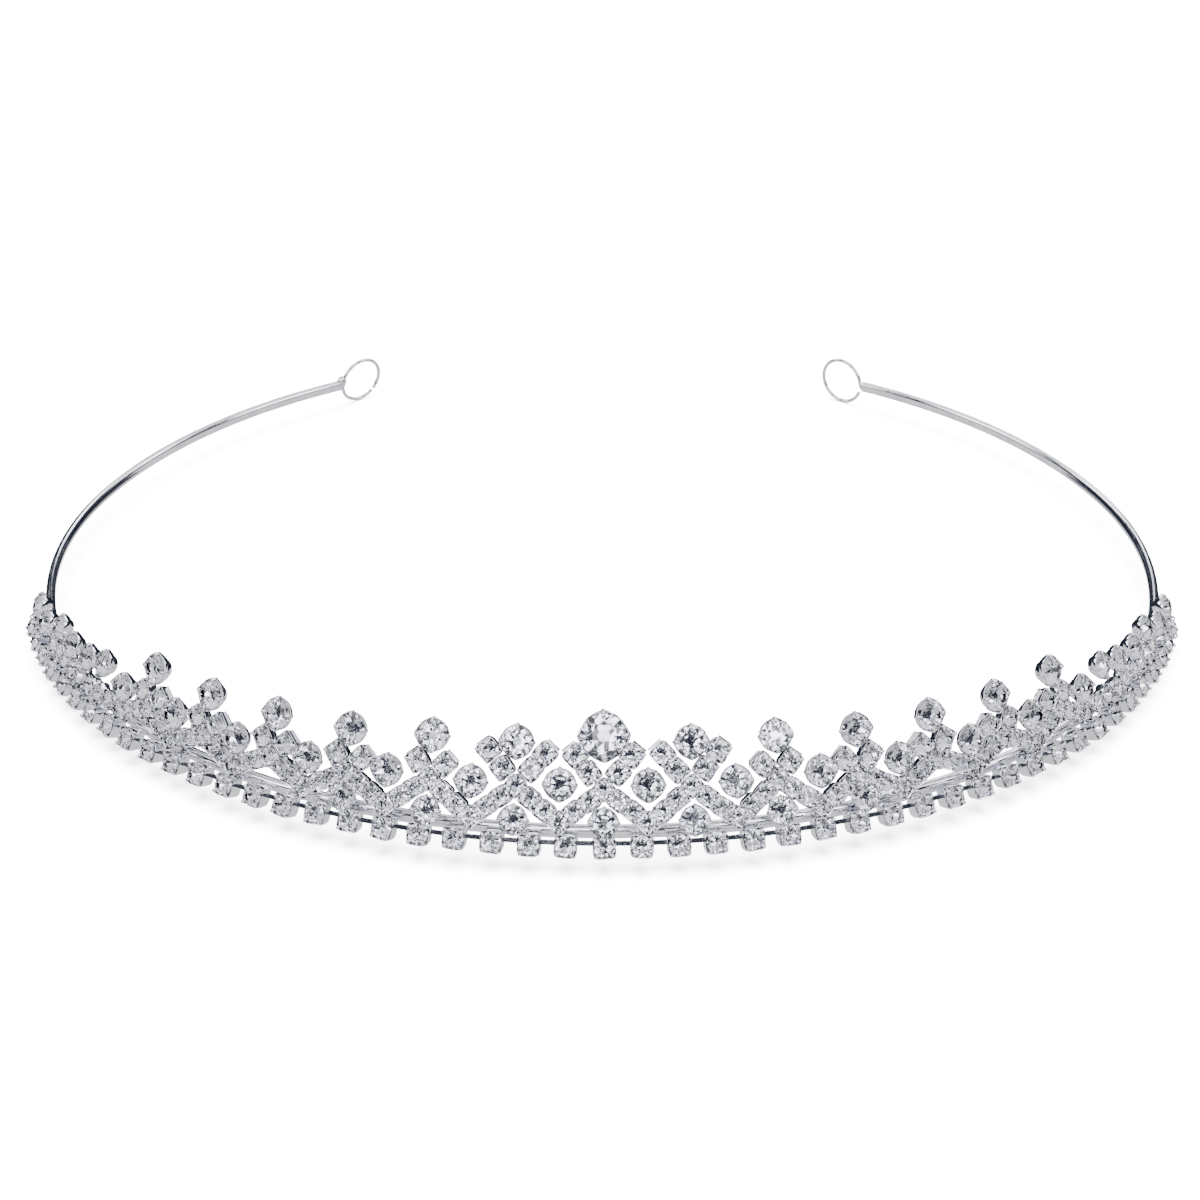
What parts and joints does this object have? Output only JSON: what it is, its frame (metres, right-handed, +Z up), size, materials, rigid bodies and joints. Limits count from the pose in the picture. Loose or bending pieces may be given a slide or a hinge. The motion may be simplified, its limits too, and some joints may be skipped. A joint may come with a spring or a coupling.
{
  "type": "bridal tiara",
  "caption": "Slim bridal tiara: a plated oval-wire headband with hairgrip loops, a base row of square cups, and a lattice of claw-set round crystals graduated from the centre.",
  "frame": {"origin": "middle of the bottom of the whole tiara's box, as it stands on the base row and the two loops", "axes": "+X along the widest part of the band, to the wearer's left when worn; +Z up, square to the band's plane; the stones face -Y and the open side of the band is at +Y"},
  "size_m": [0.1446, 0.1342, 0.0161],
  "materials": {
    "band_plating": "bright silver-coloured plating on the band and loops",
    "chain_plating": "bright silver-coloured plating on the cup chain",
    "setting_plating": "bright silver-coloured plating on the claw settings",
    "crystal": "clear foil-backed cut glass"
  },
  "bodies": {
    "root": {"base_cup_chain": "chain_plating", "centre_lattice": "chain_plating", "centre_peak_setting": "setting_plating", "centre_peak_stone": "crystal", "headband": "band_plating", "left_end_chain": "chain_plating", "left_end_ring": "band_plating", "left_end_stone_1": "setting_plating", "left_end_stone_2": "setting_plating", "left_end_stone_3": "setting_plating", "left_end_stone_4": "setting_plating", "left_end_stone_5": "setting_plating", "left_end_stone_6": "setting_plating", "left_lattice_1": "chain_plating", "left_lattice_2": "chain_plating", "left_lattice_3": "chain_plating", "left_lattice_4": "chain_plating", "left_lattice_5": "chain_plating", "left_lattice_6": "chain_plating", "left_peak_stone_1": "setting_plating", "left_peak_stone_2": "setting_plating", "left_peak_stone_3": "setting_plating", "left_peak_stone_4": "setting_plating", "left_peak_stone_5": "setting_plating", "left_peak_stone_6": "setting_plating", "left_valley_stone_1": "setting_plating", "left_valley_stone_2": "setting_plating", "left_valley_stone_3": "setting_plating", "left_valley_stone_4": "setting_plating", "left_valley_stone_5": "setting_plating", "left_valley_stone_6": "setting_plating", "left_valley_stone_7": "setting_plating", "right_end_chain": "chain_plating", "right_end_ring": "band_plating", "right_end_stone_1": "setting_plating", "right_end_stone_2": "setting_plating", "right_end_stone_3": "setting_plating", "right_end_stone_4": "setting_plating", "right_end_stone_5": "setting_plating", "right_end_stone_6": "setting_plating", "right_lattice_1": "chain_plating", "right_lattice_2": "chain_plating", "right_lattice_3": "chain_plating", "right_lattice_4": "chain_plating", "right_lattice_5": "chain_plating", "right_lattice_6": "chain_plating", "right_peak_stone_1": "setting_plating", "right_peak_stone_2": "setting_plating", "right_peak_stone_3": "setting_plating", "right_peak_stone_4": "setting_plating", "right_peak_stone_5": "setting_plating", "right_peak_stone_6": "setting_plating", "right_valley_stone_1": "setting_plating", "right_valley_stone_2": "setting_plating", "right_valley_stone_3": "setting_plating", "right_valley_stone_4": "setting_plating", "right_valley_stone_5": "setting_plating", "right_valley_stone_6": "setting_plating", "right_valley_stone_7": "setting_plating"}
  },
  "joints": []
}
